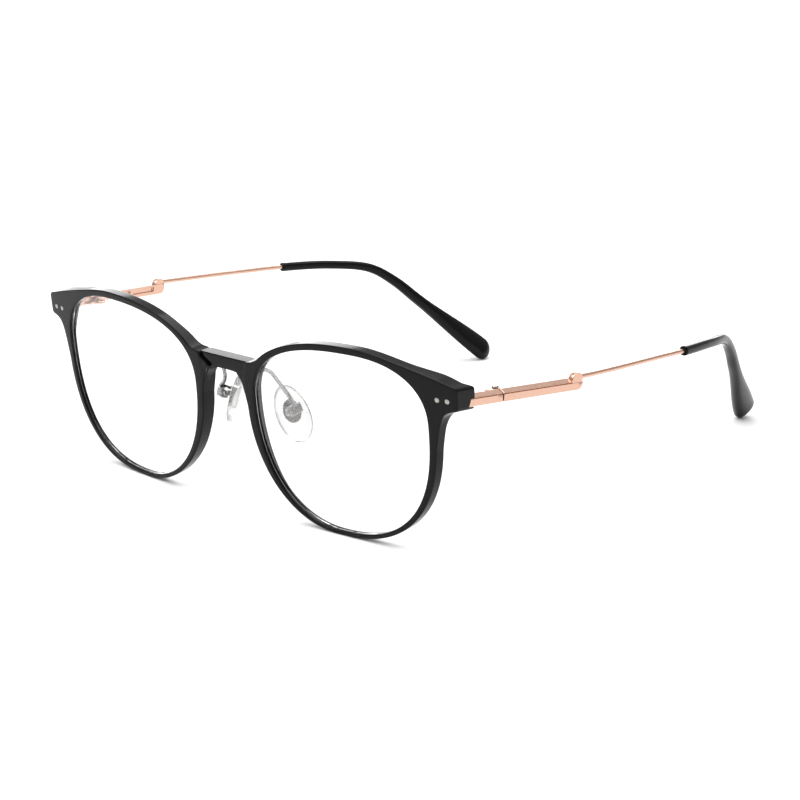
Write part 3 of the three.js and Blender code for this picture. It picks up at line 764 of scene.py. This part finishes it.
def make_pad_insert():
    w, h = INSERT_HALF
    face = PAD_BACK - INSERT_THICKNESS
    levels = ((face, 0.1), (face + 0.1, 0), (PAD_BACK - 0.1, 0), (PAD_BACK, 0.1))
    rings = [pad_ring(x, INSERT_MIDDLE, w - ease, h - ease) for x, ease in levels]
    neck = rounded(block((PAD_BACK - 0.2, 0), (-LUG_HALF, LUG_HALF), (-0.8, 0.8)), 0.12)
    profile = [(0.8, -LUG_HALF), (0.9, -LUG_HALF + 0.1), (0.9, LUG_HALF - 0.1), (0.8, LUG_HALF)]
    eye = turned(profile, "y")
    return union(stack(rings), neck, eye)


def make_pad():
    """A soft pad with a rounded back edge and a domed face on the nose side."""
    layers = [(0, 0.9), (0.04, 0.94), (0.15, 0.975), (0.35, 0.995), (0.6, 1.0), (0.9, 0.985), (1.2, 0.95),
              (1.5, 0.885), (1.75, 0.8), (1.95, 0.68), (2.08, 0.54), (2.16, 0.38), (2.2, 0.2), (2.21, 0.06)]
    w, h = PAD_HALF
    rings = [pad_ring(PAD_BACK - depth, PAD_MIDDLE, w * scale, h * scale) for depth, scale in layers]
    w, h = (size + SHOWN_GAP for size in INSERT_HALF)
    recess = stack([pad_ring(PAD_BACK - INSERT_THICKNESS - 0.1, INSERT_MIDDLE, w, h),
                    pad_ring(PAD_BACK + 1, INSERT_MIDDLE, w, h)])
    return combined(stack(rings), recess, "DIFFERENCE")


# ------------------------------------------------------------ materials
def scaled(tone, share):
    return tuple(min(1, c * share) for c in tone)


class Look:
    """A node-built material: one Principled shader whose colour, roughness and bump come from noise."""

    def __init__(self, name, **sockets):
        self.material = bpy.data.materials.new(name)
        self.material.use_nodes = True
        self.tree = self.material.node_tree
        self.shader = self.tree.nodes["Principled BSDF"]
        for socket, value in sockets.items():
            self.shader.inputs[socket.replace("_", " ")].default_value = value
        self.place = self.tree.nodes.new("ShaderNodeTexCoord").outputs["Object"]

    def link(self, output, socket):
        self.tree.links.new(output, socket)

    def stretched(self, scale):
        node = self.tree.nodes.new("ShaderNodeMapping")
        node.inputs["Scale"].default_value = scale
        self.link(self.place, node.inputs["Vector"])
        return node.outputs["Vector"]

    def noise(self, scale, detail=4.0, rough=0.55, where=None):
        node = self.tree.nodes.new("ShaderNodeTexNoise")
        node.inputs["Scale"].default_value = scale
        node.inputs["Detail"].default_value = detail
        node.inputs["Roughness"].default_value = rough
        self.link(where or self.place, node.inputs["Vector"])
        return node.outputs["Fac"]

    def edges(self, span):
        """How convex the surface is: 0 where it is flat, 1 where its pointiness is span above that."""
        geometry = self.tree.nodes.new("ShaderNodeNewGeometry")
        return self.ramp(geometry.outputs["Pointiness"], (0.5, 0), (0.5 + span, 1))

    def ramp(self, source, *stops):
        """Maps a source to numbers or colours, given as (place, value)."""
        node = self.tree.nodes.new("ShaderNodeValToRGB")
        ramp = node.color_ramp
        for k, (place, value) in enumerate(stops):
            stop = ramp.elements[k] if k < 2 else ramp.elements.new(place)
            stop.position = place
            stop.color = (*value, 1) if isinstance(value, tuple) else (value, value, value, 1)
        self.link(source, node.inputs["Fac"])
        return node.outputs["Color"]

    def mixed(self, share, first, second):
        node = self.tree.nodes.new("ShaderNodeMix")
        node.data_type = "RGBA"
        self.link(share, node.inputs["Factor"])
        self.link(first, node.inputs["A"])
        self.link(second, node.inputs["B"])
        return node.outputs["Result"]

    def colour(self, source):
        self.link(source, self.shader.inputs["Base Color"])

    def roughness(self, source):
        self.link(source, self.shader.inputs["Roughness"])

    def bump(self, *layers):
        """Layers of (height, distance in metres, strength)."""
        last = None
        for height, distance, strength in layers:
            node = self.tree.nodes.new("ShaderNodeBump")
            node.inputs["Distance"].default_value = distance
            node.inputs["Strength"].default_value = strength
            self.link(height, node.inputs["Height"])
            if last:
                self.link(last, node.inputs["Normal"])
            last = node.outputs["Normal"]
        self.link(last, self.shader.inputs["Normal"])


def black_plastic(name, tone, gloss):
    """Moulded black plastic, polished: faint flow clouds, fine handling marks and a softly rippled skin."""
    look = Look(name, Specular_IOR_Level=0.14, IOR=1.5)
    clouds = look.noise(160, 3)
    marks = look.noise(1, 5, 0.7, look.stretched((2600, 900, 2600)))
    look.colour(look.ramp(clouds, (0.3, scaled(tone, 0.82)), (0.7, scaled(tone, 1.18))))
    look.roughness(look.ramp(marks, (0.35, gloss * 0.85), (0.75, gloss * 1.5)))
    look.bump((look.noise(420, 2), 0.00002, 0.12), (look.noise(5200, 2), 0.000004, 0.1))
    return look.material


def rose_gold(name):
    """Polished rose-gold plating: slight colour drift, hairlines along the bar, brighter worn edges."""
    look = Look(name, Metallic=1.0)
    drift = look.noise(120, 3)
    hairlines = look.noise(1, 3, 0.6, look.stretched((5200, 260, 5200)))
    plain = look.ramp(drift, (0.3, (0.61, 0.375, 0.285)), (0.7, (0.65, 0.41, 0.315)))
    worn = look.ramp(hairlines, (0.3, (0.59, 0.36, 0.27)), (0.7, (0.69, 0.45, 0.355)))
    look.colour(look.mixed(look.edges(0.12), plain, worn))
    look.roughness(look.ramp(hairlines, (0.3, 0.16), (0.75, 0.30)))
    look.bump((hairlines, 0.000006, 0.12))
    return look.material


def silver_metal(name, tone):
    """Bright silver-coloured metal with a drawn grain and small pits."""
    look = Look(name, Metallic=1.0)
    grain = look.noise(1, 4, 0.6, look.stretched((6000, 1200, 3000)))
    pits = look.noise(3800, 2)
    look.colour(look.ramp(grain, (0.3, scaled(tone, 0.9)), (0.75, scaled(tone, 1.08))))
    look.roughness(look.ramp(grain, (0.3, 0.18), (0.75, 0.36)))
    look.bump((pits, 0.000006, 0.15))
    return look.material


def through_light(look):
    """Lets lamp light pass straight through, so that clear things throw no dark shadow."""
    tree = look.tree
    clear = tree.nodes.new("ShaderNodeBsdfTransparent")
    path = tree.nodes.new("ShaderNodeLightPath")
    mix = tree.nodes.new("ShaderNodeMixShader")
    output = next(n for n in tree.nodes if n.type == "OUTPUT_MATERIAL")
    look.link(path.outputs["Is Shadow Ray"], mix.inputs[0])
    look.link(look.shader.outputs["BSDF"], mix.inputs[1])
    look.link(clear.outputs["BSDF"], mix.inputs[2])
    look.link(mix.outputs["Shader"], output.inputs["Surface"])


def clear_lens(name):
    """A clear lens with a trace of tint and barely visible wipe marks."""
    look = Look(name, Transmission_Weight=1.0, IOR=1.5)
    wipes = look.noise(1, 4, 0.6, look.stretched((90, 90, 400)))
    look.colour(look.ramp(wipes, (0.3, (0.975, 0.985, 0.985)), (0.7, (1.0, 1.0, 1.0))))
    look.roughness(look.ramp(wipes, (0.55, 0.0), (0.9, 0.012)))
    through_light(look)
    return look.material


def clear_silicone(name):
    """Soft clear silicone, a little milky inside, with a fine satin skin; its convex edges carry painted
    shade, a grey tone that stands in for the dark edge refraction gives a clear pad.
    """
    look = Look(name, Transmission_Weight=0.86, IOR=1.41)
    milk = look.noise(380, 4)
    inside = look.ramp(milk, (0.3, (0.93, 0.94, 0.93)), (0.7, (0.985, 0.985, 0.98)))
    # painted shade: convex edges are painted grey, standing in for the dark edge that light bending through
    # the clear pad gives
    rim = look.ramp(milk, (0.3, (0.5, 0.51, 0.5)), (0.7, (0.58, 0.59, 0.58)))
    look.colour(look.mixed(look.edges(0.045), inside, rim))
    look.roughness(look.ramp(look.noise(2400, 3), (0.3, 0.10), (0.7, 0.2)))
    look.bump((look.noise(900, 3), 0.00002, 0.15))
    through_light(look)
    return look.material


def floor_paper(name):
    look = Look(name)
    look.colour(look.ramp(look.noise(3, 3), (0.3, (0.93, 0.93, 0.93)), (0.7, (0.945, 0.945, 0.945))))
    look.roughness(look.ramp(look.noise(40, 3), (0.3, 0.75), (0.7, 0.85)))
    look.bump((look.noise(900, 4), 0.00002, 0.05))
    return look.material


FRONT_PLASTIC = black_plastic("front_black_plastic", (0.0022, 0.0022, 0.0026), 0.13)
TIP_PLASTIC = black_plastic("tip_black_plastic", (0.0026, 0.0026, 0.003), 0.1)
ROSE_GOLD = rose_gold("rose_gold_plating")
SILVER = silver_metal("silver_metal", (0.36, 0.35, 0.35))
RIVET_SILVER = silver_metal("rivet_silver", (0.33, 0.33, 0.31))
LENS = clear_lens("lens_clear")
SILICONE = clear_silicone("pad_silicone_clear")


# ------------------------------------------------------------ pieces
def piece(name, part, place, body, material, nodes):
    """One shown piece, set in the row frame, that rides on its body in place of its CAD nodes."""
    thing = mesh_of(name, moved(part, ROW @ place))
    thing.data.materials.append(material)
    thing.data.shade_smooth()
    split_normals(thing)
    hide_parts(*nodes)
    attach(thing, body)


def split_normals(thing):
    """Smooth shading that stays crisp across sharp creases."""
    mesh = thing.data
    edit = bmesh.new()
    edit.from_mesh(mesh)
    limit = math.radians(38)
    for edge in edit.edges:
        edge.smooth = edge.is_manifold and edge.calc_face_angle(0) < limit
    edit.to_mesh(mesh)
    edit.free()
    weigh = thing.modifiers.new("normals", "WEIGHTED_NORMAL")
    weigh.keep_sharp = True
    applied(thing)


def pair(name, part, place, body, material):
    """The left piece and its mirror image on the right."""
    for side, flip in (("left", Matrix.Identity(4)), ("right", MIRROR)):
        rides = body if body == "front" else f"{body}_{side}"
        piece(f"{name}_{side}_shown", part, flip @ place, rides, material, [f"{name}_{side}"])


piece("front_frame_shown", make_front(), PLACE_F, "front", FRONT_PLASTIC, ["front_frame"])
pair("lens", make_lens(), PLACE_F, "front", LENS)
for rivet_name, rivet_x in zip(("rivet_inner", "rivet_outer"), RIVET_X):
    pair(rivet_name, make_rivet(rivet_x), PLACE_F, "front", RIVET_SILVER)
pair("hinge_lug", make_lug(), PLACE_F, "front", ROSE_GOLD)
pair("hinge_screw", make_pin(), PLACE_T, "front", SILVER)
pair("temple", make_temple(), PLACE_T, "temple", ROSE_GOLD)
pair("temple_tip", make_tip(), PLACE_T, "temple", TIP_PLASTIC)
pair("nose_pad_arm", make_pad_arm(), PLACE_F, "front", SILVER)
pair("pad_screw", make_pad_screw(), PLACE_P, "front", SILVER)
pair("pad_insert", make_pad_insert(), PLACE_P, "nose_pad", SILVER)
pair("nose_pad", make_pad(), PLACE_P, "nose_pad", SILICONE)


# ------------------------------------------------------------ floor, light and camera
PICTURE_WIDTH = 800  # in pixels
FOCAL_LENGTH = 2399.6  # in the same pixels
SENSOR_WIDTH = 36


def make_floor():
    """A pale sheet of paper that rises gently far from the object."""
    count = 96
    profile = [(0.02, 0), (0.5, 0), (1.5, 0), (2.6, 0), (3.0, 0.03), (3.4, 0.15), (3.7, 0.36), (3.9, 0.7)]
    angles = 2 * np.pi * np.arange(count) / count
    c, s = np.cos(angles), np.sin(angles)
    rings = []
    for radius, height in profile:
        rings.append(np.stack([radius * c, radius * s, np.full(count, height)], axis=1))
    verts, faces = stack(rings, cap=False)
    faces.append(tuple(range(count)))
    thing = mesh_of("floor", (verts, faces))
    thing.data.materials.append(floor_paper("floor_paper"))
    thing.data.shade_smooth()


def softbox(name, place, target, size, power):
    lamp = bpy.data.lights.new(name, "AREA")
    lamp.shape = "RECTANGLE"
    lamp.size, lamp.size_y = size
    lamp.energy = power
    thing = bpy.data.objects.new(name, lamp)
    thing.location = place
    thing.rotation_euler = (Vector(target) - Vector(place)).to_track_quat("-Z", "Y").to_euler()
    bpy.context.scene.collection.objects.link(thing)


def make_world(*stops):
    """A studio that brightens from the horizon up, given as (height of the direction, brightness)."""
    world = bpy.data.worlds.new("studio")
    world.use_nodes = True
    tree = world.node_tree
    direction = tree.nodes.new("ShaderNodeTexCoord")
    split = tree.nodes.new("ShaderNodeSeparateXYZ")
    ramp = tree.nodes.new("ShaderNodeValToRGB")
    for k, (height, bright) in enumerate(stops):
        stop = ramp.color_ramp.elements[k] if k < 2 else ramp.color_ramp.elements.new(height)
        stop.position = height
        stop.color = (bright, bright, bright, 1)
    tree.links.new(direction.outputs["Generated"], split.inputs["Vector"])
    tree.links.new(split.outputs["Z"], ramp.inputs["Fac"])
    tree.links.new(ramp.outputs["Color"], tree.nodes["Background"].inputs["Color"])
    bpy.context.scene.world = world


def make_camera():
    """A three-quarter view from the wearer's left, set in the front's upright frame."""
    place = Vector((398.978, -354.280, 188.926))
    right = Vector((0.73494, 0.67467, -0.06844))
    up = Vector((-0.18296, 0.29445, 0.93799))
    back = right.cross(up)
    turn = ROW.to_3x3().normalized()
    camera = bpy.data.cameras.new("camera")
    camera.sensor_width = SENSOR_WIDTH
    camera.lens = FOCAL_LENGTH / PICTURE_WIDTH * SENSOR_WIDTH
    camera.clip_start = 0.01
    camera.clip_end = 20
    thing = bpy.data.objects.new("camera", camera)
    columns = Matrix([turn @ right, turn @ up, turn @ back]).transposed()
    thing.matrix_world = Matrix.Translation(ROW @ place) @ columns.to_4x4()
    bpy.context.scene.collection.objects.link(thing)
    bpy.context.scene.camera = thing


make_floor()
make_world((0.0, 0.4), (0.3, 0.5), (0.65, 0.8), (1.0, 1.0))
softbox("key", (-0.6, -0.7, 1.7), (0, -0.03, 0.02), (1.3, 1.3), 18)
softbox("top", (0.0, 0.7, 1.9), (0, -0.03, 0.02), (2.0, 1.4), 20)
softbox("rim", (-1.3, 1.25, 0.5), (0, -0.03, 0.04), (1.6, 0.7), 13)
make_camera()
bpy.context.scene.view_settings.view_transform = "Standard"
bpy.context.scene.view_settings.look = "None"
